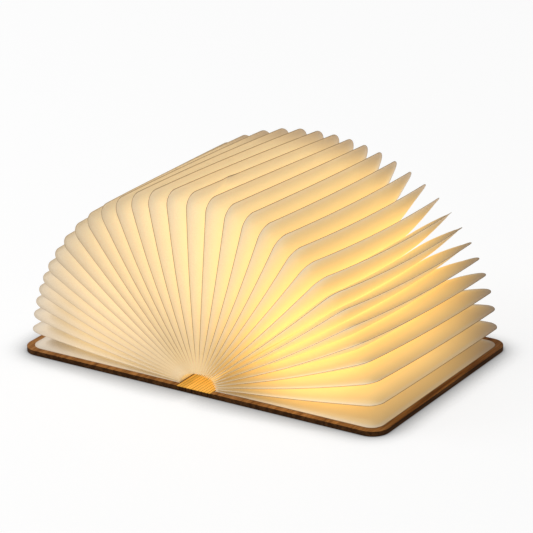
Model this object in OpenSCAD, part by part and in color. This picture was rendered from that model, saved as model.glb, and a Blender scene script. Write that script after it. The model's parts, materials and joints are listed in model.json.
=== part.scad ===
// Folding book lamp, laid open flat. A walnut board is cut into two covers and a kerf-cut spine,
// sealed paper leaves fan out over the spine's tunnel, and a light module stands on the middle slat.
// Millimetres. X runs across the open covers, Y along the spine and Z up from the board's underside.

/* [Cover board] */
// Width of the board laid open, across both covers
open_w = 350; // [300:1:400]
// Depth of the board along the spine
board_d = 213; // [190:1:240]
// Thickness of the walnut board
board_t = 4; // [3.4:0.1:4.6]
// Radius of the board's outer corners
corner_r = 15; // [13:0.5:25]

/* [Kerf-cut spine] */
// Slats on each side of the middle slat
side_slats = 5; // [4:1:5]
// Gap left at the fold line between two half links
fold_gap = 0.07; // [0.06:0.01:0.12]
// Length along the spine of each link that bridges a kerf
link_l = 5; // [3:0.5:8]
// Links in each odd kerf, counted along the spine
link_rows = 7; // [3:2:9]

/* [Paper leaves] */
// Leaves in the fan, an odd number, with the two that are pasted to the covers
leaf_count = 33; // [29:2:33]
// Thickness of a leaf across its two sheets
leaf_t = 0.36; // [0.3:0.02:0.38]
// Thickness of a leaf in its sealed border
seam_t = 0.26; // [0.2:0.02:0.3]
// Width of the sealed border along three edges
seam_w = 3; // [2:0.5:5]
// Room that each leaf takes in the closed stack
stack_pitch = 0.55; // [0.55:0.01:0.65]
// Room beside the middle leaf in the closed stack
middle_pitch = 1.25; // [1.2:0.05:1.5]
// Bare board left showing round a pasted leaf
rim_w = 5.6; // [4:0.2:10]
// Radius of a leaf's outer corners
leaf_r = 12; // [6:0.5:20]
// Extra length of a free leaf, which brings it near the shut covers' edges
free_leaf_extra = 2; // [0:0.1:2.4]
// Gap from the last fold line to a pasted leaf
paste_gap = 0.4; // [0.34:0.02:0.6]
// Height of the tunnel's arch above the pasted leaves
arch_h = 10.8; // [10.4:0.1:11.4]
// Thickness of the gusset that joins a leaf to the next one
gusset_t = 0.12; // [0.1:0.01:0.14]
// Gap from a gusset's edge to the next leaf
gusset_gap = 0.15; // [0.12:0.01:0.2]
// How far a gusset's edge lies below the next leaf
gusset_drop = 0.12; // [0.12:0.01:0.2]
// How far the right leaves settle towards their cover, in degrees
settle_right = 2.4; // [0:0.1:4]
// How far the left leaves settle towards their cover, in degrees
settle_left = 4; // [0:0.1:4.4]

/* [Light module] */
// Outside width of the tray
tray_w = 14; // [13.4:0.1:14.4]
// Height of the tray's rim above the board's underside
tray_top = 11.3; // [11.1:0.05:11.4]
// Wall of the tray
tray_wall = 0.8; // [0.7:0.05:0.9]
// Running gap between the closed spine and the tray's belly
belly_gap = 0.4; // [0.3:0.05:0.5]
// Where the tray's front end stands along the spine
tray_front = -80; // [-95:1:-70]
// Where the tray's back end stands along the spine
tray_back = 98; // [90:1:100]
// Width of the foot that stands on the middle slat
foot_w = 2.2; // [1.6:0.1:2.3]
// Thickness of the tape under the foot
tape_t = 0.2; // [0.1:0.05:0.3]
// Rise of the diffuser above the tray's rim
diffuser_rise = 2.4; // [2:0.05:2.6]
// Wall of the diffuser
diffuser_wall = 0.8; // [0.6:0.05:0.9]
// Height of the lap where the diffuser's skirt covers the tray
lap_h = 0.8; // [0.6:0.05:1]

/* [Electrics] */
// Thickness of the LED board
led_board_t = 0.8; // [0.6:0.05:0.8]
// Number of LEDs along the board
led_count = 12; // [6:1:16]
// Length of one LED along the board
led_l = 3.5; // [2:0.1:5]
// Width of one LED
led_w = 2.8; // [1.6:0.1:5]
// Height of one LED
led_h = 0.7; // [0.5:0.1:1]
// Width of the flat cell
cell_w = 10; // [7:0.5:10]
// Thickness of the flat cell
cell_t = 3.3; // [2.5:0.1:3.4]
// Length of the flat cell
cell_l = 108; // [80:1:108]
// Thickness of the control board
control_t = 0.8; // [0.6:0.05:1]
// Length of the control board
control_l = 58; // [50:1:60]
// Width of the charging socket
socket_w = 8.9; // [8.5:0.1:9.2]
// Height of the charging socket
socket_h = 3.2; // [2.8:0.1:3.3]
// Depth of the charging socket
socket_l = 7.3; // [6:0.1:8]
// Diameter of the leads
lead_d = 0.9; // [0.6:0.1:1.1]

/* [Magnets] */
// Diameter of the cover magnets
magnet_d = 8; // [6:0.5:10]
// Thickness of the cover magnets
magnet_t = 2; // [1.5:0.1:2.5]
// Distance of the cover magnets from the board's outer edges
magnet_inset = 19; // [16:0.5:30]
// Diameter of the magnet that the switch senses
sensor_magnet_d = 4; // [3:0.5:6]
// Thickness of the magnet that the switch senses
sensor_magnet_t = 1.5; // [1:0.1:2]
// Distance of the sensed magnet from the spine
sensor_inset = 7; // [5:0.5:12]
// Distance of the sensed magnet from the tray's back end
sensor_back = 40; // [39:0.5:42]
// Gap round each magnet in its pocket
pocket_gap = 0.1; // [0.05:0.01:0.2]

/* [Hidden] */
$fn = 64;
slop = 0.05;                     // fit between pieces that seat by hand
last = leaf_count - 1;
half_count = last / 2;           // leaf spaces from a cover to the middle of the fan
fold_step = 90 / (side_slats + 1);
kerf_w = board_t * tan(fold_step / 2) + fold_gap;
// cosines of the slats' lean when the lamp is shut, which set how wide the shut spine is
slat_lean = [for (k = [1 : side_slats]) cos(k * fold_step)];
function total(v, n) = n < 0 ? 0 : v[n] + total(v, n - 1);
shut_half = board_t / 2 + leaf_t / 2 + stack_pitch * (half_count - 1) + middle_pitch;
slat_pitch = shut_half / (0.5 + total(slat_lean, side_slats - 1));
spine_half = (side_slats + 0.5) * slat_pitch;
fold_z = board_t / 2 + slat_pitch / 2 / tan(fold_step / 2);   // centre of the shut spine's curve

page_x = spine_half + paste_gap;                // inner edge of a pasted leaf
page_l = open_w / 2 - rim_w - page_x;
page_d = board_d - 2 * rim_w;
page_z = board_t + leaf_t / 2;

// points of the tunnel's quarter arch, and the run along it up to each, for even spacing
arch_steps = 90;
function arch_point(a) = [page_x * cos(a), arch_h * sin(a)];
arch_run = [for (a = 0, run = 0; a <= arch_steps;
                 run = run + norm(arch_point(a + 1) - arch_point(a)), a = a + 1) [run, a]];
arch_len = arch_run[arch_steps][0];

board_colour = "#7b4b2a";
paper_colour = "#f3dfae";
white_colour = "#f2f0ea";

function two_digits(i) = str(i < 10 ? "0" : "", i);
function leaf_name(i) = i == 0 ? "end_leaf_right" : i == last ? "end_leaf_left"
    : str("leaf_", two_digits(i));
function slat_name(k) = k == 0 ? "slat_middle" : str(k < 0 ? "slat_left_" : "slat_right_", abs(k));

// ---- shapes shared by the sub-parts ----

// flat outline from x0 to x1, centred on the X axis, with its two corners at x1 rounded
module page_outline(x0, x1, depth, r) {
    translate([x0, -depth / 2]) square([x1 - x0 - r, depth]);
    translate([x0, -depth / 2 + r]) square([x1 - x0, depth - 2 * r]);
    for (s = [-1, 1]) translate([x1 - r, s * (depth / 2 - r)]) circle(r);
}

// outline in X and Z pulled along the spine from y0 to y1
module along_spine(y0, y1) {
    translate([0, y1, 0]) rotate([90, 0, 0]) linear_extrude(y1 - y0) children();
}

// mirrors a left-hand copy of a right-hand piece
module on_side(s) {
    mirror([s < 0 ? 1 : 0, 0, 0]) children();
}

// ---- board ----

// places along the spine of the links in kerf k, which stagger from one kerf to the next
function link_places(k) =
    let (space = board_d / link_rows, edge = (board_d - link_l) / 2)
    k % 2 == 1
        ? [for (m = [0 : link_rows - 1]) (m - (link_rows - 1) / 2) * space]
        : [for (m = [0 : link_rows]) max(-edge, min(edge, (m - link_rows / 2) * space))];

// half links of kerf k: noses that reach from one side (s) of the kerf to its fold line
module half_links(k, s) {
    fold_x = (k - 0.5) * slat_pitch;
    for (y = link_places(k))
        along_spine(y - link_l / 2, y + link_l / 2)
            polygon([[fold_x + s * kerf_w / 2, 0],
                     [fold_x + s * fold_gap / 2, board_t / 2],
                     [fold_x + s * kerf_w / 2, board_t],
                     [fold_x + s * (kerf_w / 2 + slop), board_t],
                     [fold_x + s * (kerf_w / 2 + slop), 0]]);
}

module slat(k) {
    w = slat_pitch - kerf_w;
    color(board_colour)
    on_side(k) {
        n = abs(k);
        translate([n * slat_pitch - w / 2, -board_d / 2, 0]) cube([w, board_d, board_t]);
        half_links(n + 1, -1);
        if (n > 0) half_links(n, 1);
        else mirror([1, 0, 0]) half_links(1, -1);
    }
}

magnet_x = open_w / 2 - magnet_inset;
magnet_y = board_d / 2 - magnet_inset;
sensor_magnet_x = spine_half + sensor_inset;
sensor_magnet_y = tray_back - sensor_back;

module magnet_pocket(d, t) {
    translate([0, 0, board_t - t - 2 * pocket_gap])
        cylinder(d = d + 2 * pocket_gap, h = t + 2 * pocket_gap + 1);
}

module cover(s) {
    color(board_colour)
    on_side(s) {
        difference() {
            linear_extrude(board_t)
                page_outline(spine_half + kerf_w / 2, open_w / 2, board_d, corner_r);
            for (y = [-magnet_y, magnet_y])
                translate([magnet_x, y, 0]) magnet_pocket(magnet_d, magnet_t);
            if (s > 0)
                translate([sensor_magnet_x, sensor_magnet_y, 0])
                    magnet_pocket(sensor_magnet_d, sensor_magnet_t);
        }
        half_links(side_slats + 1, 1);
    }
}

module cover_magnets(s) {
    color("silver")
    for (y = [-magnet_y, magnet_y])
        translate([s * magnet_x, y, board_t - magnet_t - pocket_gap])
            cylinder(d = magnet_d, h = magnet_t);
}

module sensor_magnet() {
    color("silver")
    translate([sensor_magnet_x, sensor_magnet_y, board_t - sensor_magnet_t - pocket_gap])
        cylinder(d = sensor_magnet_d, h = sensor_magnet_t);
}

// ---- paper leaves ----

// lean of the leaf that is n steps from the cover on side s, as it has settled
function leaf_turn(n, s) =
    180 * n / last - (s > 0 ? settle_right : settle_left) * sin(360 * n / last);

// where that leaf leaves the tunnel's arch, on the right-hand side; roots are evenly spaced
function leaf_root(n) =
    let (p = arch_point(lookup(arch_len * n / half_count, arch_run))) [p[0], page_z + p[1]];

// from a leaf's root to the next one's, as seen by the leaf: outwards and towards the middle
function to_next_root(n, s) =
    let (d = leaf_root(n + 1) - leaf_root(n), t = leaf_turn(n, s))
    [d * [cos(t), sin(t)], d * [-sin(t), cos(t)]];

// folded strip along a leaf's inner edge that closes the arch up to the next leaf
module gusset(n, s) {
    edge = to_next_root(n, s) - [gusset_drop, leaf_t / 2 + gusset_gap];
    along_spine(seam_w - page_d / 2, page_d / 2 - seam_w)
        polygon([[slop, -leaf_t / 2], [slop, leaf_t / 2], [0, leaf_t / 2],
                 edge, edge - [gusset_t, 0], [0, -leaf_t / 2]]);
}

// two sheets joined by a thinner sealed border, with the inner edge on the arch
module leaf(i) {
    s = i > half_count ? -1 : 1;
    n = min(i, last - i);
    length = page_l + free_leaf_extra;
    color(paper_colour)
    on_side(s)
        translate([leaf_root(n)[0], 0, leaf_root(n)[1]])
            rotate([0, -leaf_turn(n, s), 0]) {
                linear_extrude(seam_t, center = true)
                    page_outline(0, length, page_d, leaf_r);
                linear_extrude(leaf_t, center = true)
                    page_outline(0, length - seam_w, page_d - 2 * seam_w, leaf_r - seam_w);
                if (n < half_count) gusset(n, s);
            }
}

// a pasted leaf has one flat side on the board, right out to its edge
module end_leaf(s) {
    color(paper_colour)
    on_side(s)
        translate([page_x, 0, board_t]) {
            linear_extrude((leaf_t + seam_t) / 2) page_outline(0, page_l, page_d, leaf_r);
            linear_extrude(leaf_t)
                page_outline(0, page_l - seam_w, page_d - 2 * seam_w, leaf_r - seam_w);
            translate([0, 0, leaf_t / 2]) gusset(0, s);
        }
}

// ---- light module ----

belly_r = fold_z - board_t - belly_gap;
cavity_r = belly_r - tray_wall;
foot_z = board_t + tape_t;
rail_w = 0.9;
rail_h = 0.8;
rail_z = tray_top - slop - led_board_t;     // top of the rails that carry the LED board
lap_t = (tray_wall - slop) / 2;
led_board_w = tray_w - 2 * tray_wall - 4 * slop;
socket_room = 5;                            // from the LED board's end to the socket
led_back = tray_back - socket_l - socket_room;
led_front = tray_front + tray_wall + slop;

// height of the cavity's curved floor at a distance x from the middle
function floor_z(x) = fold_z - sqrt(pow(cavity_r, 2) - pow(x, 2));

// region inside a circle about the shut spine's centre, no wider than w and below the height top
module belly(r, w, top) {
    intersection() {
        translate([0, fold_z]) circle(r);
        translate([-w / 2, 0]) square([w, top]);
    }
}

cell_z = floor_z(cell_w / 2) + slop;
control_w = 2 * sqrt(pow(cavity_r, 2) - pow(fold_z - cell_z, 2)) - 2 * slop;
control_top = cell_z + control_t;
control_front = tray_back - tray_wall - slop - control_l;
cell_front = tray_front + tray_wall + 2 * slop;
socket_front = tray_back - tray_wall - slop - socket_l;

// charging socket's outline: a rounded slot, grown by g
module socket_outline(g) {
    r = socket_h / 2 + g;
    translate([0, control_top + socket_h / 2]) {
        square([socket_w - socket_h, 2 * r], center = true);
        for (s = [-1, 1]) translate([s * (socket_w - socket_h) / 2, 0]) circle(r);
    }
}

module light_tray() {
    color(white_colour) {
        difference() {
            along_spine(tray_front, tray_back) belly(belly_r, tray_w, tray_top);
            along_spine(tray_front + tray_wall, tray_back - tray_wall)
                belly(cavity_r, tray_w - 2 * tray_wall, tray_top + 1);
            // the outside of the rim is cut back for the diffuser's skirt
            for (s = [-1, 1])
                on_side(s)
                    translate([tray_w / 2 - lap_t - slop, -board_d / 2, tray_top - lap_h - slop])
                        cube([lap_t + 1, board_d, lap_h + 1]);
            along_spine(tray_back - 2 * tray_wall, tray_back + 1) socket_outline(slop);
        }
        for (s = [-1, 1])
            translate([s * (tray_w / 2 - tray_wall - rail_w / 2 + slop), 0, 0])
                along_spine(led_front, led_back)
                    translate([-rail_w / 2 - slop, rail_z - rail_h])
                        square([rail_w + 2 * slop, rail_h]);
        along_spine(tray_front, tray_back)
            translate([-foot_w / 2, foot_z])
                square([foot_w, fold_z - belly_r - foot_z + tray_wall / 2]);
    }
}

diffuser_r = (pow(tray_w / 2, 2) + pow(diffuser_rise, 2)) / (2 * diffuser_rise);

// cap of a circle that meets the rim's edges, shrunk by g all round
module diffuser_outline(g) {
    intersection() {
        translate([0, tray_top + diffuser_rise - diffuser_r]) circle(diffuser_r - g, $fn = 96);
        translate([-tray_w / 2 + g, tray_top]) square([tray_w - 2 * g, diffuser_rise]);
    }
}

module diffuser() {
    color("#fbf3dc") {
        difference() {
            along_spine(tray_front, tray_back) diffuser_outline(0);
            along_spine(tray_front + diffuser_wall, tray_back - diffuser_wall)
                difference() {
                    diffuser_outline(diffuser_wall);
                    // a flat rib is left over each rim
                    for (s = [-1, 1])
                        translate([s * (tray_w / 2 - tray_wall / 2), tray_top])
                            square([tray_wall, 2 * slop], center = true);
                }
        }
        for (s = [-1, 1])
            along_spine(tray_front, tray_back)
                translate([s * (tray_w / 2 - lap_t / 2) - lap_t / 2, tray_top - lap_h])
                    square([lap_t, lap_h + 2 * slop]);
    }
}

module mount_tape() {
    color("#d9d9d4")
    translate([-foot_w / 2, tray_front, board_t]) cube([foot_w, tray_back - tray_front, tape_t]);
}

module led_board() {
    color("white")
    translate([-led_board_w / 2, led_front, rail_z])
        cube([led_board_w, led_back - led_front, led_board_t]);
}

module leds() {
    space = (led_back - led_front) / led_count;
    color("#fff2a8")
    for (n = [0 : led_count - 1])
        translate([0, led_front + (n + 0.5) * space, rail_z + led_board_t + led_h / 2])
            cube([led_w, led_l, led_h], center = true);
}

// flat cell with rounded long edges and a thinner terminal strip at its back end
module battery() {
    r = cell_t / 2;
    strip_l = 2;
    strip_t = 2;
    body_back = cell_front + cell_l - strip_l;
    color("#b9bcc2") {
        along_spine(cell_front, body_back)
            translate([0, cell_z + r]) {
                square([cell_w - 2 * r, cell_t], center = true);
                for (s = [-1, 1]) translate([s * (cell_w / 2 - r), 0]) circle(r);
            }
        along_spine(body_back, body_back + strip_l)
            translate([0, cell_z + r]) square([cell_w - 2 * r, strip_t], center = true);
    }
}

module control_board() {
    color("#2f6b45")
    translate([-control_w / 2, control_front, cell_z]) cube([control_w, control_l, control_t]);
}

// charge chip, coil, sensor and small chips: middle x, distance from the board's front, then sizes
part_places = [[-1.2, 18, 5, 5, 1.2], [0, 26, 4, 4, 2],
               [3, sensor_magnet_y - control_front, 1.5, 3, 1],
               [-2.8, 34, 1.6, 0.8, 0.6], [-2.8, 37, 1.6, 0.8, 0.6], [0, 41, 2, 3, 0.9]];

module board_parts() {
    color("#26282b")
    for (p = part_places)
        translate([p[0], control_front + p[1], control_top + p[4] / 2])
            cube([p[2], p[3], p[4]], center = true);
}

module usb_socket() {
    shell = 0.35;
    tongue_t = 0.7;
    tongue_inset = 1;
    color("#c9ccd1") {
        difference() {
            along_spine(socket_front, socket_front + socket_l) socket_outline(0);
            along_spine(socket_front + shell, socket_front + socket_l + 1) socket_outline(-shell);
        }
        along_spine(socket_front, socket_front + socket_l - tongue_inset)
            translate([0, control_top + socket_h / 2])
                square([socket_w - socket_h, tongue_t], center = true);
    }
}

// two leads from the cell and two risers to the LED board
module leads() {
    cell_back = cell_front + cell_l;
    lead_back = control_front + 10;
    riser_y = control_front + 12;
    lead_x = 2;
    riser_x = 3.6;
    for (s = [-1, 1])
        color(s > 0 ? "#b3261e" : "#1d1d1f") {
            translate([s * lead_x, cell_back, control_top + lead_d / 2])
                rotate([-90, 0, 0]) cylinder(d = lead_d, h = lead_back - cell_back);
            translate([s * riser_x, riser_y, control_top])
                cylinder(d = lead_d, h = rail_z - control_top);
        }
}

// ---- assembly ----

cover(-1);  // cover_left
cover(1);  // cover_right
for (k = [-side_slats : side_slats])
    slat(k);
end_leaf(1);  // end_leaf_right
end_leaf(-1);  // end_leaf_left
for (i = [1 : last - 1])
    leaf(i);
light_tray();
diffuser();
mount_tape();
led_board();
leds();
battery();
control_board();
board_parts();
usb_socket();
leads();
cover_magnets(-1);  // magnets_left
cover_magnets(1);  // magnets_right
sensor_magnet();
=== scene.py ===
import json
import math

import bpy
from mathutils import Matrix, Vector


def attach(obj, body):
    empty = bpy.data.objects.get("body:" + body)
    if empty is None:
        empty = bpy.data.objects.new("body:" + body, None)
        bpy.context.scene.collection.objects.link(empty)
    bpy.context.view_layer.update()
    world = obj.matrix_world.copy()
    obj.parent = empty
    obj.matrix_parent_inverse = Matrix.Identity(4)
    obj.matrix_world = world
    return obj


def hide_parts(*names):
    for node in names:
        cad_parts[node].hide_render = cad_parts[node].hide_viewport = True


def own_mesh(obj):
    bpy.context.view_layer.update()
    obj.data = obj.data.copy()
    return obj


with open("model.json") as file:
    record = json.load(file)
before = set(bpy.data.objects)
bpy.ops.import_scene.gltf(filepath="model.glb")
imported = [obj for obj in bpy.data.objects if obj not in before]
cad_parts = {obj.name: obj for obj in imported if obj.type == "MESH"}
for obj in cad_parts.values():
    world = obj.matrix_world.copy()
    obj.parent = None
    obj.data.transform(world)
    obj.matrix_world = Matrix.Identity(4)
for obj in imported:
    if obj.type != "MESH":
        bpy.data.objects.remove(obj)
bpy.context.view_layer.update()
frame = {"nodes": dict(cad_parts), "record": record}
nodes = frame["nodes"]
mm = 0.001
print("frame loaded:", len(nodes), "nodes")


# a socket that takes part in Python expressions, so that maths on sockets is written as maths
class Wire:
    def __init__(self, tree, socket):
        self.tree, self.socket = tree, socket

    def sum(self, operation, *others):
        return addNode(self.tree, "ShaderNodeMath", {"operation": operation}, [self, *others])

    def output(self, name):
        return Wire(self.tree, self.socket.node.outputs[name])      # another output of the same node

    def __add__(self, other):
        return self.sum("ADD", other)

    def __sub__(self, other):
        return self.sum("SUBTRACT", other)

    def __mul__(self, other):
        return self.sum("MULTIPLY", other)

    def __truediv__(self, other):
        return self.sum("DIVIDE", other)

    def __pow__(self, other):
        return self.sum("POWER", other)

    def __neg__(self):
        return self.sum("MULTIPLY", -1.0)

    def __radd__(self, other):
        return self + other

    def __rmul__(self, other):
        return self * other

    def __rsub__(self, other):
        return addNode(self.tree, "ShaderNodeMath", {"operation": "SUBTRACT"}, [other, self])

    def __rtruediv__(self, other):
        return addNode(self.tree, "ShaderNodeMath", {"operation": "DIVIDE"}, [other, self])


def addNode(tree, kind, settings=None, values=None, out=0):
    # one node: its settings first, then a value or a wire for each socket, by name or in order
    node = tree.nodes.new(kind)
    for name, value in (settings or {}).items():
        if name == "stops":
            ramp = node.color_ramp
            while len(ramp.elements) < len(value):
                ramp.elements.new(1.0)
            for element, (place, colour) in zip(ramp.elements, value):
                element.position, element.color = place, (*colour, 1.0)
        elif name == "items":
            while len(node.index_switch_items) < value:
                node.index_switch_items.new()
        else:
            setattr(node, name, value)
    pairs = values.items() if isinstance(values, dict) else enumerate(values or [])
    for name, value in pairs:
        socket = node.inputs[name]
        wires = value if isinstance(value, list) else [value]         # a list joins several wires
        if isinstance(wires[0], Wire):
            for wire in wires:
                tree.links.new(wire.socket, socket)
        elif value is not None:
            socket.default_value = value
    return Wire(tree, node.outputs[out]) if node.outputs else None


def between(wire, low, high, first=0.0, last=1.0, smooth=True):
    # runs from first to last as the wire goes from low to high, and stays there outside
    return addNode(wire.tree, "ShaderNodeMapRange",
                   {"interpolation_type": "SMOOTHSTEP" if smooth else "LINEAR"},
                   {"Value": wire, "From Min": low, "From Max": high,
                    "To Min": first, "To Max": last}, out="Result")


# colours go through a Mix node, since a Math node turns a colour grey
def mixColour(tree, share, first, second):
    settings = {"data_type": "RGBA", "blend_type": "MIX", "clamp_factor": True}
    values = {0: share}
    for place, colour in ((6, first), (7, second)):
        values[place] = colour if isinstance(colour, Wire) else (*colour, 1.0)
    return addNode(tree, "ShaderNodeMix", settings, values, out=2)


def newMaterial(name):
    material = bpy.data.materials.new(name)
    material.use_nodes = True
    tree = material.node_tree
    return material, tree, tree.nodes["Principled BSDF"]


def feed(tree, shader, sockets):
    # values or wires for the shader's sockets
    for name, value in sockets.items():
        if isinstance(value, Wire):
            tree.links.new(value.socket, shader.inputs[name])
        else:
            shader.inputs[name].default_value = (*value, 1.0) if isinstance(value, tuple) else value


def objectPoint(tree, scale=(1, 1, 1)):
    point = addNode(tree, "ShaderNodeTexCoord", out="Object")
    return addNode(tree, "ShaderNodeMapping", {}, {"Vector": point, "Scale": scale})


def noise(tree, point, scale, detail, rough):
    return addNode(tree, "ShaderNodeTexNoise", {},
                   {"Vector": point, "Scale": scale, "Detail": detail, "Roughness": rough}, out="Fac")


def bump(tree, height, distance, strength):
    return addNode(tree, "ShaderNodeBump", {},
                   {"Height": height, "Distance": distance, "Strength": strength}, out="Normal")


walnutLook = {"grainLight": (0.38, 0.165, 0.045), "grainDark": (0.15, 0.055, 0.014),
              "grainPale": (0.50, 0.24, 0.08), "char": (0.040, 0.015, 0.004),
              "charEdge": (0.085, 0.034, 0.009),
              "grainStretch": 0.06, "poreStretch": 0.03,       # along the spine against across it
              "wanderScale": 40.0, "ringScale": 260.0, "poreScale": 1500.0, "ringShare": 0.65,
              "grainStops": (0.36, 0.52, 0.66), "toneRange": (0.3, 0.7),
              "poreRange": (0.60, 0.68), "poreDepth": 0.6,
              "topRange": (0.35, 0.8), "charRange": (0.4, 0.65),       # laser-cut sides are charred
              "roughest": 0.58, "smoothest": 0.45, "charRoughness": 0.25, "specular": 0.06,
              "relief": 0.00012, "reliefStrength": 0.6, "poreRelief": 0.4,
              "poolLight": (0.85, 0.44, 0.06), "poolStrength": 0.80, "poolGrain": 0.75,
              "poolSide": (0.0150, 0.0175), "poolFloor": (0.0034, 0.0039)}


def walnutMaterial():
    look = walnutLook
    material, tree, shader = newMaterial("walnut")
    along = objectPoint(tree, (1, look["grainStretch"], 1))            # grain runs along the spine
    wander = noise(tree, along, look["wanderScale"], 2.0, 0.5)
    rings = noise(tree, along, look["ringScale"], 4.0, 0.6)
    pores = noise(tree, objectPoint(tree, (1, look["poreStretch"], 1)), look["poreScale"], 1.0, 0.5)
    tone = rings * look["ringShare"] + wander * (1 - look["ringShare"])
    colours = (look["grainDark"], look["grainLight"], look["grainPale"])
    grain = addNode(tree, "ShaderNodeValToRGB", {"stops": list(zip(look["grainStops"], colours))}, [tone])
    pored = mixColour(tree, between(pores, *look["poreRange"], 0.0, look["poreDepth"]),
                      grain, look["grainDark"])
    facing = addNode(tree, "ShaderNodeTexCoord", out="Normal")
    up = addNode(tree, "ShaderNodeSeparateXYZ", {}, [facing], out="Z").sum("ABSOLUTE")
    top = between(up, *look["topRange"])
    soot = mixColour(tree, between(rings, *look["charRange"]), look["char"], look["charEdge"])
    # painted pool of warm light: the module's light on the slats inside the tunnel, as emission
    place = addNode(tree, "ShaderNodeSeparateXYZ", {}, [addNode(tree, "ShaderNodeTexCoord", out="Object")])
    pool = (between(place.sum("ABSOLUTE"), *look["poolSide"], 1.0, 0.0)
            * between(place.output("Z"), *look["poolFloor"]))
    light = pool * between(tone, *look["toneRange"], look["poolGrain"], 1.0)
    feed(tree, shader, {
        "Base Color": mixColour(tree, top, soot, pored),
        "Roughness": (between(tone, *look["toneRange"], look["roughest"], look["smoothest"])
                      + (1 - top) * look["charRoughness"]),
        "Specular IOR Level": look["specular"],
        "Normal": bump(tree, rings + pores * look["poreRelief"], look["relief"], look["reliefStrength"]),
        "Emission Color": mixColour(tree, light, (0.0, 0.0, 0.0), look["poolLight"]),
        "Emission Strength": look["poolStrength"]})
    return material


# across runs from root to outer edge and along from front to back, both 0 to 1; edge is how far
# the border is, in millimetres; tone, the share of painted warm shade, is 1 on the low right leaves, and
# ink, how dark the painted edge shade is, is 0 on the left ones
paperLook = {"paper": (0.84, 0.77, 0.66), "shade": (0.62, 0.49, 0.39), "warmPaper": (0.81, 0.66, 0.42),
             "paleLine": (0.68, 0.58, 0.46), "edgeLine": (0.42, 0.31, 0.19),
             "warmLine": (0.32, 0.21, 0.11),
             "fibreScale": 900.0, "cloudScale": 60.0, "fibreRange": (0.3, 0.7), "fibreShade": 0.25,
             "warmEdge": (2.0, 6.0), "roughness": 0.82, "relief": 0.00015, "reliefStrength": 0.5,
             "lineEdge": (0.35, 0.9), "lineMerge": (0.02, 0.18),
             "lineDim": 0.15, "lineDimInk": 0.47, "lineDimTone": 0.13,
             "glow": (1.0, 0.72, 0.28), "glowStrength": 0.455, "borderGlow": 0.34, "climb": 9.0,
             "tunnelReach": (0.02, 0.34), "tunnelGlow": 0.55,
             "rootReach": (0.0, 0.5), "rootDim": 0.27, "rootDimTone": 0.41,
             "tipReach": (0.55, 1.03), "frontReach": (0.45, 0.95), "frontShare": 0.5,
             "backAcross": (0.84, 1.0), "backAlong": (0.72, 1.0), "tipDim": 0.55, "tipShade": 0.75,
             "cloudGlow": (0.94, 0.12)}


def paperMaterial():
    look = paperLook
    material, tree, shader = newMaterial("leafPaper")

    def trait(name):
        return addNode(tree, "ShaderNodeAttribute", {"attribute_name": name}, out="Fac")

    across, along, edge = trait("across"), trait("along"), trait("edge")
    glow, tipGlow, tone, ink = trait("glow"), trait("tipGlow"), trait("tone"), trait("ink")
    fibreMap = objectPoint(tree)
    fibres = noise(tree, fibreMap, look["fibreScale"], 5.0, 0.7)
    cloud = noise(tree, fibreMap, look["cloudScale"], 3.0, 0.6)
    merge = 1 - between(across, *look["lineMerge"])         # near the root the edges run together and show no painted edge shade
    line = between(edge, *look["lineEdge"]).sum("MAXIMUM", merge)      # 0 on the thin painted brown shade along the leaf edge, 1 inside
    climb = 1 - (-edge / look["climb"]).sum("EXPONENT")     # the sealed border glows least
    climb = climb.sum("MAXIMUM", between(across, *look["tunnelReach"], look["tunnelGlow"], 0.0))
    rootDim = look["rootDim"] + look["rootDimTone"] * tone
    reach = 1 - between(across, *look["rootReach"], 1.0, 0.0) * rootDim
    corner = 1 - tone * between(along, *look["frontReach"], look["frontShare"], 0.0)
    reach = reach * (1 - between(across, *look["tipReach"]) * (1 - tipGlow) * corner)
    backTipShade = between(across, *look["backAcross"]) * between(along, *look["backAlong"])
    # painted light: the module's light shining through the paper is painted as emission, graded over each
    # leaf
    level = (look["borderGlow"] + (1 - look["borderGlow"]) * climb) * reach * glow
    level = level * (1 - backTipShade * look["tipDim"])          # painted shade: the glow at the far outer corner is dimmed
    # painted shade: the glow is dimmed along the leaf edges, most on the right-hand and middle leaves
    lineDim = look["lineDim"] + look["lineDimInk"] * ink + look["lineDimTone"] * tone
    level = level * (look["cloudGlow"][0] + look["cloudGlow"][1] * cloud) * (1 - (1 - line) * lineDim)
    paper = mixColour(tree, between(fibres, *look["fibreRange"], 0.0, look["fibreShade"]),
                      look["paper"], look["shade"])
    # painted shade and warm bounced light: away from their borders the low right leaves turn a darker golden
    # tan
    paper = mixColour(tree, tone * between(edge, *look["warmEdge"]), paper, look["warmPaper"])
    # painted shade: the far outer corner is also darkened toward the dark paper colour
    paper = mixColour(tree, backTipShade * look["tipShade"], paper, look["shade"])
    # colour of the painted brown shade along the leaf edges: warmer on the low right leaves, paler on the
    # left
    edgeShadeColour = mixColour(tree, tone, look["edgeLine"], look["warmLine"])
    edgeShadeColour = mixColour(tree, ink, look["paleLine"], edgeShadeColour)
    feed(tree, shader, {
        "Base Color": mixColour(tree, line, edgeShadeColour, paper), "Roughness": look["roughness"],
        "Normal": bump(tree, fibres * 0.5 + cloud, look["relief"], look["reliefStrength"]),
        "Emission Color": mixColour(tree, level, (0.0, 0.0, 0.0), look["glow"]),
        "Emission Strength": look["glowStrength"]})
    return material


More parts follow.
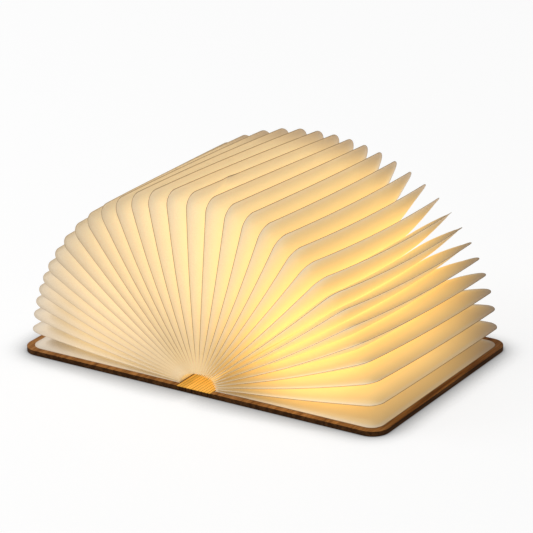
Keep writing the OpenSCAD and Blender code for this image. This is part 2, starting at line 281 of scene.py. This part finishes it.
def plainMaterial(name, look):
    # moulded or metal finish with a slight mottle, which also moves its roughness
    mottleDark, mottleRoughness = 0.12, 0.06
    material, tree, shader = newMaterial(name)
    mottle = noise(tree, objectPoint(tree), look.get("scale", 400.0), 3.0, 0.6)
    darker = tuple(c * (1 - mottleDark) for c in look["colour"])
    feed(tree, shader, {
        "Base Color": mixColour(tree, mottle, look["colour"], darker), "Metallic": look.get("metallic", 0.0),
        "Roughness": between(mottle, 0.2, 0.8, look["roughness"] - mottleRoughness,
                             look["roughness"] + mottleRoughness),
        "Normal": bump(tree, mottle, look.get("relief", 0.00003), 0.6)})
    if "glow" in look:
        feed(tree, shader, {"Emission Color": look["glow"], "Emission Strength": look["glowStrength"]})
    return material


def dress(material, names):
    for name in names:
        node = nodes[name]
        if not node.material_slots:
            node.data.materials.append(None)
        for place in node.material_slots:
            place.link = "OBJECT"
            place.material = material


# the light module, its leads and the magnets
finishes = {
    "trayPlastic": {"nodes": ("light_tray",), "colour": (0.82, 0.80, 0.75), "roughness": 0.45},
    "diffuserPlastic": {"nodes": ("diffuser",), "colour": (0.95, 0.88, 0.70), "roughness": 0.5,
                        "glow": (1.0, 0.66, 0.25), "glowStrength": 1.0},
    "foamTape": {"nodes": ("mount_tape",), "colour": (0.80, 0.80, 0.78), "roughness": 0.8,
                 "scale": 2500.0},
    "whiteMask": {"nodes": ("led_board",), "colour": (0.88, 0.88, 0.85), "roughness": 0.4},
    "phosphor": {"nodes": ("leds",), "colour": (0.95, 0.72, 0.20), "roughness": 0.5,
                 "glow": (1.0, 0.70, 0.30), "glowStrength": 2.0},
    "cellFoil": {"nodes": ("battery",), "colour": (0.70, 0.71, 0.73), "roughness": 0.35,
                 "metallic": 0.9, "scale": 120.0, "relief": 0.0001},
    "greenMask": {"nodes": ("control_board",), "colour": (0.03, 0.16, 0.07), "roughness": 0.35},
    "chipBlack": {"nodes": ("board_parts",), "colour": (0.03, 0.03, 0.032), "roughness": 0.5},
    "socketSteel": {"nodes": ("usb_socket",), "colour": (0.66, 0.67, 0.69), "roughness": 0.3,
                    "metallic": 1.0},
    "leadJacket": {"nodes": ("leads",), "colour": (0.55, 0.05, 0.04), "roughness": 0.45},
    "nickelPlate": {"nodes": ("magnets_left", "magnets_right", "sensor_magnet"),
                    "colour": (0.72, 0.70, 0.66), "roughness": 0.25, "metallic": 1.0}}

dress(walnutMaterial(), [name for name in nodes if name.startswith(("cover_", "slat_"))])
leafPaper = paperMaterial()
for name, look in finishes.items():
    dress(plainMaterial(name, look), look["nodes"])
print("materials made")


# paper leaves, with their lengths in millimetres
leafSizes = {"count": 33, "length": 154.0853, "pastedLength": 152.0853, "depth": 201.8, "corner": 12.0,
             "archWidth": 17.3147, "archHeight": 10.8, "boardTop": 4.0,
             "thickness": 0.36, "seamThickness": 0.26, "seamWidth": 3.0,
             "settleRight": 2.4, "settleLeft": 4.0}
gussetSizes = {"thickness": 0.12, "gap": 0.15, "drop": 0.12, "start": 0.06, "vertices": (4, 20, 2),
               "glow": 1.5, "across": 0.3, "edge": 9.0}           # lit like paper near the root
# heights of the slow waves that run across the fan: degrees that the front and back of each leaf lean
# away from the flat leaf, millimetres of bow between root and outer edge, degrees of sag in the middle
fanWaves = {"front": (3.0, 0.0, 1.7, -1.0, 0.4, -0.4, -0.2, -0.5),
            "back": (-3.7, -0.7, 2.1, 0.9, -0.2, -0.8),
            "bow": (1.2, 3.3, -0.4, -0.2, 0.15, 1.4), "sag": (-0.9, 0.3, -0.6)}
leafFill = {"flankSlope": 0.28, "rootSlope": 0.048, "ripple": 0.18, "rippleScale": 22.0, "seedStep": 0.37,
            "pillowPower": 4.0, "backStretch": 0.027, "stretchFrom": 0.19}
# the low right leaves droop over their far outer corner: height of the hump and how many do it
lowDroop = {"height": 3.4, "leaves": 9, "skew": 0.6}
# the upright leaf leans one way in front of its crease and the other way behind it; wallX keeps
# the next leaf off its plane; keepShut, a fullness for a shut side, is not applied here
leafRoom = {"creaseColumn": 13, "release": 1.0, "wallX": -0.25, "keepShut": 0.025}
leafGrid = {"rows": 45, "columns": 51, "lip": 0.15, "borderRows": (0.6, 1.5), "shoulder": 0.8,
            "rootCrowd": 1.5, "mergeWithin": 0.004, "sharpAngle": 0.6}
# how bright each leaf is, with leaves counted from the right cover: a swell over the middle of the fan,
# more on the low right leaves, and tips that fade on both sides
fanGlow = {"least": 0.65, "swell": 0.405, "swellFrom": 35, "swellLeaves": 50, "pasted": 0.52,
           "lowMore": 0.20, "lowLeaves": 11,
           "tipLeftFrom": 12, "tipLeftLeaves": 20, "tipRightFrom": 14, "tipRightDim": 0.9}
# how much painted shade each leaf takes: the low right leaves darken and warm, and the painted edge shade
# fades out toward the left
fanShade = {"toneFrom": 16, "toneLeaves": 12, "inkFrom": 26, "inkLeaves": 9}
lastLeaf = leafSizes["count"] - 1
midLeaf = lastLeaf // 2


def archPoint(degrees):
    # point of the tunnel's quarter arch, from the middle of its foot
    a = math.radians(degrees)
    return leafSizes["archWidth"] * math.cos(a), leafSizes["archHeight"] * math.sin(a)


archRun = [0.0]                                   # length of the arch up to each degree
for step in range(90):
    archRun.append(archRun[-1] + math.dist(archPoint(step + 1), archPoint(step)))


def leafRoot(n):
    # root of the leaf n steps from its cover, on the right-hand side, with roots evenly spaced
    want = archRun[-1] * n / midLeaf
    step = max(k for k in range(91) if archRun[k] <= want + 1e-9)
    share = 0.0 if step == 90 else (want - archRun[step]) / (archRun[step + 1] - archRun[step])
    x, z = archPoint(step + share)
    return x, leafSizes["boardTop"] + leafSizes["thickness"] / 2 + z


def leafTurn(n, side):
    settle = leafSizes["settleRight"] if side > 0 else leafSizes["settleLeft"]
    return 180 * n / lastLeaf - settle * math.sin(2 * math.pi * n / lastLeaf)


def wave(name, i):
    return sum(height * math.sin((k + 1) * math.pi * (lastLeaf - i) / lastLeaf)
               for k, height in enumerate(fanWaves[name]))


def leafGroup(material):
    # Geometry Nodes: two sheets sealed along the border, twisted and bowed, with the gusset strip
    tree = bpy.data.node_groups.new("sealedLeaf", "GeometryNodeTree")
    tree.interface.new_socket(name="Geometry", in_out="INPUT", socket_type="NodeSocketGeometry")
    tree.interface.new_socket(name="Geometry", in_out="OUTPUT", socket_type="NodeSocketGeometry")
    names = ["Length", "Half Depth", "Corner", "Seam Width", "Half Sheet", "Half Seam", "Root X", "Root Z",
             "Front Lean", "Back Lean", "Sag", "Bow", "Droop", "Upper", "Lower", "Flank Slope", "Root Slope",
             "Ripple", "Back Stretch", "Crease Column", "Part", "Room", "Release", "Wall X", "Seed",
             "Glow", "Tip Glow", "Tone", "Ink", "Gusset Out", "Gusset Up", "Gusset Thickness", "Lean"]
    keys = {}
    for name in names:
        keys[name] = tree.interface.new_socket(name=name, in_out="INPUT",
                                               socket_type="NodeSocketFloat").identifier
    entry = addNode(tree, "NodeGroupInput")
    given = {name: entry.output(name) for name in names}
    rows, columns = leafGrid["rows"], leafGrid["columns"]
    lip, shoulder = leafGrid["lip"] * mm, leafGrid["shoulder"] * mm
    tiny = 1e-6

    def gridPart(a, b, sign):
        # place on the leaf of grid point (a, b), with the border's rows at fixed distances
        g = given
        row = (rows - 1) * (1 - a)                                     # 0 at the outer edge
        rowIndex = addNode(tree, "FunctionNodeFloatToInt", {"rounding_mode": "ROUND"}, [row])
        seamEnd = g["Seam Width"] + shoulder
        border = [0.0, lip, *(step * mm for step in leafGrid["borderRows"]), g["Seam Width"], seamEnd]
        share = (rows - 1 - row) / (rows - len(border))                # 0 at the root, 1 at the seam
        spread = 1 - (1 - share).sum("MAXIMUM", 0.0) ** leafGrid["rootCrowd"]
        inner = g["Length"] - g["Seam Width"] - shoulder
        dx = switch(rowIndex, [*border, g["Length"] - spread * inner])
        x = g["Length"] - dx
        over = (x - (g["Length"] - g["Corner"])).sum("MAXIMUM", 0.0)
        drop = g["Corner"] - (g["Corner"] * g["Corner"] - over * over).sum("MAXIMUM", 0.0) ** 0.5
        half = g["Half Depth"] - drop
        column = (columns - 1) * b
        fromSide = column.sum("MINIMUM", (columns - 1) - column)
        columnIndex = addNode(tree, "FunctionNodeFloatToInt", {"rounding_mode": "ROUND"}, [fromSide])
        middle = (columns - 1) / 2
        even = seamEnd + (fromSide - 3) / (middle - 3) * (half - seamEnd)
        dy = switch(columnIndex, [0.0, lip, g["Seam Width"], seamEnd, even])
        y = (half - dy) * (column - middle).sum("SIGN")
        edge = dx.sum("MINIMUM", dy)
        atRoot = between(x, 0.0, lip, smooth=False)
        # half thickness: closed at the edge, thin in the seal, then as thick as two sheets and pillowed
        seal = between(edge, 0.0, lip, smooth=False) * g["Half Seam"]
        body = between(edge, g["Seam Width"], seamEnd) * (g["Half Sheet"] - g["Half Seam"])
        flanks = [(w - g["Seam Width"]).sum("MAXIMUM", tiny) * g["Flank Slope"] for w in (dx, dy)]
        nearRoot = x.sum("MAXIMUM", tiny) * g["Root Slope"]            # neighbours touch further in
        power = leafFill["pillowPower"]
        pillow = sum((w ** -power for w in (*flanks, nearRoot)), 0.0) ** (-1 / power)
        point = addNode(tree, "ShaderNodeCombineXYZ", {}, [x, y, g["Seed"]])
        ripple = addNode(tree, "ShaderNodeTexNoise", {},
                         {"Vector": point, "Scale": leafFill["rippleScale"], "Detail": 1.0}, out="Fac")
        lift = pillow * (1 + (ripple - 0.5) * g["Ripple"]) * (g["Upper"] if sign > 0 else g["Lower"])
        behind = column - g["Crease Column"]                           # columns behind the crease
        atCrease = behind.sum("ABSOLUTE").sum("MINIMUM", 1.0)
        thick = (seal + body + lift) * atRoot * atCrease * sign
        u = y / (2 * g["Half Depth"]) + 0.5
        angle = g["Front Lean"] + (g["Back Lean"] - g["Front Lean"]) * u + g["Sag"] * 4 * u * (1 - u)
        across = x / g["Length"]
        out = thick + g["Bow"] * (across * math.pi).sum("SINE")
        out = out + g["Droop"] * u * u * (across * across * across * math.pi).sum("SINE")
        x = x * (1 + g["Back Stretch"] * u * u)
        # in the flat leaf's own frame: how far along it, and how far off its plane, kept within its room
        c, s = (angle - g["Lean"]).sum("COSINE"), (angle - g["Lean"]).sum("SINE")
        far = x * c - out * s
        leftRoom = g["Half Sheet"] + g["Room"] + (-behind).sum("MAXIMUM", 0.0) * g["Release"]
        rightRoom = g["Half Sheet"] + g["Room"] + behind.sum("MAXIMUM", 0.0) * g["Release"]
        off = x * s + (out - thick) * c
        off = off.sum("MINIMUM", leftRoom - g["Half Sheet"]).sum("MAXIMUM", g["Half Sheet"] - rightRoom)
        off = (off + thick * c).sum("MINIMUM", leftRoom).sum("MAXIMUM", -rightRoom)
        c, s = g["Lean"].sum("COSINE"), g["Lean"].sum("SINE")
        wall = g["Wall X"] - (g["Half Sheet"] if sign > 0 else 0.0)
        place = addNode(tree, "ShaderNodeCombineXYZ", {},
                        [(g["Root X"] + far * c - off * s).sum("MINIMUM", wall), y,
                         g["Root Z"] + far * s + off * c])
        return place, {"across": across, "along": u, "edge": edge * 1000.0, "glow": g["Glow"],
                       "tipGlow": g["Tip Glow"], "tone": g["Tone"], "ink": g["Ink"]}

    def switch(index, values):
        picked = index.sum("MINIMUM", len(values) - 1)
        whole = addNode(tree, "FunctionNodeFloatToInt", {"rounding_mode": "ROUND"}, [picked])
        return addNode(tree, "GeometryNodeIndexSwitch", {"data_type": "FLOAT", "items": len(values)},
                       [whole, *values])

    def finish(mesh, place, traits):
        for name, value in traits.items():
            mesh = addNode(tree, "GeometryNodeStoreNamedAttribute",
                           {"data_type": "FLOAT", "domain": "POINT"},
                           {"Geometry": mesh, "Name": name, "Value": value})
        return addNode(tree, "GeometryNodeSetPosition", {}, {"Geometry": mesh, "Position": place})

    sheets = []
    for sign in (1, -1):
        mesh = addNode(tree, "GeometryNodeMeshGrid", {},
                       {"Size X": 1.0, "Size Y": 1.0, "Vertices X": rows, "Vertices Y": columns})
        spot = addNode(tree, "ShaderNodeSeparateXYZ", {}, [addNode(tree, "GeometryNodeInputPosition")])
        a, b = spot + 0.5, spot.output("Y") + 0.5
        beyond = ((columns - 1) * b - given["Crease Column"]) * given["Part"]
        mesh = addNode(tree, "GeometryNodeDeleteGeometry", {},
                       {"Geometry": mesh,
                        "Selection": addNode(tree, "FunctionNodeCompare", {"operation": "LESS_THAN"},
                                             {0: beyond, 1: -0.5})})
        place, traits = gridPart(a, b, sign)
        mesh = finish(mesh, place, traits)
        if sign < 0:
            mesh = addNode(tree, "GeometryNodeFlipFaces", {}, [mesh])
        sheets.append(mesh)

    # gusset: a strip from this leaf's root up to the next one's
    g = given
    cube = addNode(tree, "GeometryNodeMeshCube", {},
                   {"Size": (1.0, 1.0, 1.0), **dict(zip(("Vertices X", "Vertices Y", "Vertices Z"),
                                                        gussetSizes["vertices"]))})
    spot = addNode(tree, "ShaderNodeSeparateXYZ", {}, [addNode(tree, "GeometryNodeInputPosition")])
    a, v, w = spot + 0.5, spot.output("Y"), spot.output("Z") - 0.5
    out = a * g["Gusset Out"] + w * g["Gusset Thickness"] + gussetSizes["start"] * mm
    up = a * g["Gusset Up"]
    c, s = g["Lean"].sum("COSINE"), g["Lean"].sum("SINE")
    y = v * (2 * (g["Half Depth"] - g["Seam Width"]))
    place = addNode(tree, "ShaderNodeCombineXYZ", {},
                    [g["Root X"] + out * c - up * s, y, g["Root Z"] + out * s + up * c])
    strip = finish(cube, place, {"across": gussetSizes["across"], "along": v + 0.5,
                                 "edge": gussetSizes["edge"], "glow": g["Glow"] * gussetSizes["glow"],
                                 "tipGlow": g["Tip Glow"], "tone": g["Tone"], "ink": g["Ink"]})
    strip = addNode(tree, "GeometryNodeDeleteGeometry", {},
                    {"Geometry": strip,
                     "Selection": addNode(tree, "FunctionNodeCompare", {"operation": "LESS_THAN"},
                                          {0: g["Gusset Up"].sum("ABSOLUTE"), 1: tiny})})

    joined = addNode(tree, "GeometryNodeJoinGeometry", {}, [[*sheets, strip]])
    sealed = addNode(tree, "GeometryNodeMergeByDistance", {},
                     {"Geometry": joined, "Distance": leafGrid["mergeWithin"] * mm})
    smooth = addNode(tree, "GeometryNodeSetShadeSmooth", {"domain": "FACE"}, {"Geometry": sealed})
    sharp = addNode(tree, "FunctionNodeCompare", {"operation": "GREATER_THAN"},
                    {0: addNode(tree, "GeometryNodeInputMeshEdgeAngle"), 1: leafGrid["sharpAngle"]})
    smooth = addNode(tree, "GeometryNodeSetShadeSmooth", {"domain": "EDGE"},
                     {"Geometry": smooth, "Selection": sharp, "Shade Smooth": False})
    real = addNode(tree, "GeometryNodeRealizeInstances", {}, [smooth])
    done = addNode(tree, "GeometryNodeSetMaterial", {}, {"Geometry": real, "Material": material})
    addNode(tree, "NodeGroupOutput", {}, [done])
    return tree, keys


def bakeLeaf(name, tree, keys, values):
    # runs the tree on an empty mesh and keeps the result as a plain mesh
    piece = bpy.data.objects.new(name, bpy.data.meshes.new(name))
    bpy.context.scene.collection.objects.link(piece)
    modifier = piece.modifiers.new("leaf", "NODES")
    modifier.node_group = tree
    for label, value in values.items():
        modifier[keys[label]] = float(value)
    depsgraph = bpy.context.evaluated_depsgraph_get()
    made = bpy.data.meshes.new_from_object(piece.evaluated_get(depsgraph),
                                           preserve_all_data_layers=True, depsgraph=depsgraph)
    made.name = name
    piece.modifiers.remove(modifier)
    piece.data = made
    return piece


def falling(i, start, leaves):
    # 0 from the start leaf on, rising to 1 so many leaves before it
    return min(1.0, max(0.0, (start - i) / leaves))


def leafValues(i):
    sizes, gusset, fill, light, leafShade = leafSizes, gussetSizes, leafFill, fanGlow, fanShade
    side = 1 if i <= midLeaf else -1
    n = min(i, lastLeaf - i)
    rootX, rootZ = leafRoot(n)
    turn = leafTurn(n, side)
    lean = turn if side > 0 else 180 - turn
    pasted = n == 0
    hump = min(1.0, i / lowDroop["leaves"]) ** lowDroop["skew"]
    share = (lastLeaf - i) / lastLeaf             # 0 on the left cover, 1 on the right one
    values = {"Length": sizes["pastedLength" if pasted else "length"] * mm,
              "Half Depth": sizes["depth"] / 2 * mm, "Corner": sizes["corner"] * mm,
              "Seam Width": sizes["seamWidth"] * mm, "Half Sheet": sizes["thickness"] / 2 * mm,
              "Half Seam": sizes["seamThickness"] / 2 * mm, "Root X": side * rootX * mm,
              "Root Z": rootZ * mm, "Front Lean": math.radians(lean + wave("front", i)),
              "Back Lean": math.radians(lean + wave("back", i)),
              "Sag": math.radians(wave("sag", i)), "Bow": wave("bow", i) * mm,
              "Droop": lowDroop["height"] * math.sin(math.pi * hump) * mm,
              "Upper": 1.0, "Lower": 1.0, "Flank Slope": fill["flankSlope"],
              "Root Slope": fill["rootSlope"], "Ripple": fill["ripple"],
              "Back Stretch": -fill["backStretch"] * math.sin(math.pi * share)
              * math.sin(2 * math.pi * (share - fill["stretchFrom"])),
              "Seed": i * fill["seedStep"], "Lean": math.radians(lean),
              "Gusset Thickness": gusset["thickness"] * mm,
              "Crease Column": -9.0, "Part": 0.0,           # no crease on the leaf, and no part cut away
              "Room": 1.0, "Wall X": 1.0, "Release": leafRoom["release"] * mm}    # a metre is no limit
    if i == midLeaf:
        values["Crease Column"], values["Room"] = leafRoom["creaseColumn"], 0.0
    if i == midLeaf + 1:
        values["Wall X"] = leafRoom["wallX"] * mm
    if pasted:                                    # its board side lies flat
        values["Lower" if side > 0 else "Upper"] = 0.0
    if n < midLeaf:
        nextX, nextZ = leafRoot(n + 1)
        dx, dz = nextX - rootX, nextZ - rootZ
        t = math.radians(turn)
        values["Gusset Out"] = (dx * math.cos(t) + dz * math.sin(t) - gusset["drop"]) * mm
        values["Gusset Up"] = side * (-dx * math.sin(t) + dz * math.cos(t)
                                      - sizes["thickness"] / 2 - gusset["gap"]) * mm
    swell = math.sin(math.pi * min(1.0, (light["swellFrom"] - i) / light["swellLeaves"]))
    values["Glow"] = light["least"] + light["swell"] * swell
    values["Glow"] *= ((1.0 + light["lowMore"] * max(0.0, 1 - i / light["lowLeaves"]))
                       * (light["pasted"] if pasted else 1.0))
    values["Tip Glow"] = (1.0 - max(0, i - light["tipLeftFrom"]) ** 2 / light["tipLeftLeaves"] ** 2
                          - light["tipRightDim"] * max(0, light["tipRightFrom"] - i) / light["tipRightFrom"])
    values["Tone"] = falling(i, leafShade["toneFrom"], leafShade["toneLeaves"])
    values["Ink"] = falling(i, leafShade["inkFrom"], leafShade["inkLeaves"])      # the painted shade along the edges is paler on the left
    return values, lean


tree, keys = leafGroup(leafPaper)
for i in range(leafSizes["count"]):
    node = {0: "end_leaf_right", lastLeaf: "end_leaf_left"}.get(i, "leaf_%02d" % i)
    values, lean = leafValues(i)
    parts = [("", 0.0, "fold_right" if i < midLeaf else "fold_left")]
    if i == midLeaf:                              # two pieces that meet at the crease
        parts = [("_front", -1.0, "fold_left"), ("_back", 1.0, "fold_right")]
    for ending, part, joint in parts:
        piece = bakeLeaf("paper_" + node + ending, tree, keys, {**values, "Part": part})
        for body, members in frame["record"]["behaviour"]["bodies"].items():
            if node in members:
                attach(piece, body)
        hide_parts(node)
        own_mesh(piece)
print("paper leaves made")


# floor, light and camera, in metres
stageLook = {"floor": (0.12, 0.12, 0.12), "floorGlow": 0.885, "floorRoughness": 0.9, "floorReach": 12.0,
             "floorDrop": 0.0003, "shadowReach": 0.036, "shadowDepth": 2.0, "shadowSamples": 16,
             "world": 0.30, "key": 30.0, "keySize": (1.4, 1.0), "keyPlace": (-1.6, -0.9, 1.5),
             "keyTarget": (0, 0, 0.05)}


def makeStage():
    look = stageLook
    mesh = bpy.data.meshes.new("floor")
    corners = ((-1, -1), (1, -1), (1, 1), (-1, 1))
    mesh.from_pydata([(x * look["floorReach"], y * look["floorReach"], 0) for x, y in corners],
                     [], [(0, 1, 2, 3)])
    floor = bpy.data.objects.new("floor", mesh)
    bpy.context.scene.collection.objects.link(floor)
    floor.location.z = -look["floorDrop"]
    material, tree, shader = newMaterial("floorPaint")     # a lit table with a soft contact shadow
    clear = addNode(tree, "ShaderNodeAmbientOcclusion", {"samples": look["shadowSamples"]},
                    {"Distance": look["shadowReach"]}, out="AO") ** look["shadowDepth"]
    feed(tree, shader, {
        "Base Color": look["floor"], "Roughness": look["floorRoughness"],
        "Emission Color": mixColour(tree, clear, (0.0, 0.0, 0.0), (1.0, 1.0, 1.0)),
        "Emission Strength": look["floorGlow"]})
    mesh.materials.append(material)
    world = bpy.data.worlds.new("room")
    bpy.context.scene.world = world
    world.use_nodes = True
    world.node_tree.nodes["Background"].inputs[0].default_value = (1.0, 1.0, 1.0, 1.0)
    world.node_tree.nodes["Background"].inputs[1].default_value = look["world"]
    lamp = bpy.data.lights.new("softbox", "AREA")
    lamp.shape, lamp.energy = "RECTANGLE", look["key"]
    lamp.size, lamp.size_y = look["keySize"]
    light = bpy.data.objects.new("softbox", lamp)
    bpy.context.scene.collection.objects.link(light)
    aim(light, Vector(look["keyPlace"]), Vector(look["keyTarget"]))


def aim(thing, place, target):
    thing.location = place
    thing.rotation_euler = (target - place).to_track_quat("-Z", "Y").to_euler()


cameraView = {"azimuth": 33.075, "elevation": 21.633, "roll": -1.306, "distance": 2.65514,
              "target": (-0.041091, 0.069303, 0.042278), "lens": 209.61}


def makeCamera():
    view = cameraView
    az, el, roll = (math.radians(view[k]) for k in ("azimuth", "elevation", "roll"))
    back = Vector((math.sin(az) * math.cos(el), -math.cos(az) * math.cos(el), math.sin(el)))
    right = (-back).cross(Vector((0, 0, 1))).normalized()
    up = right.cross(-back)
    right, up = (math.cos(roll) * right + math.sin(roll) * up,
                 math.cos(roll) * up - math.sin(roll) * right)
    data = bpy.data.cameras.new("camera")
    data.sensor_width, data.lens, data.clip_end = 36.0, view["lens"], 100.0
    camera = bpy.data.objects.new("camera", data)
    bpy.context.scene.collection.objects.link(camera)
    place = Vector(view["target"]) + back * view["distance"]
    camera.matrix_world = Matrix.Translation(place) @ Matrix((right, up, back)).transposed().to_4x4()
    bpy.context.scene.camera = camera


makeStage()
makeCamera()
bpy.context.scene.view_settings.view_transform = "Standard"
print("stage, light and camera made")
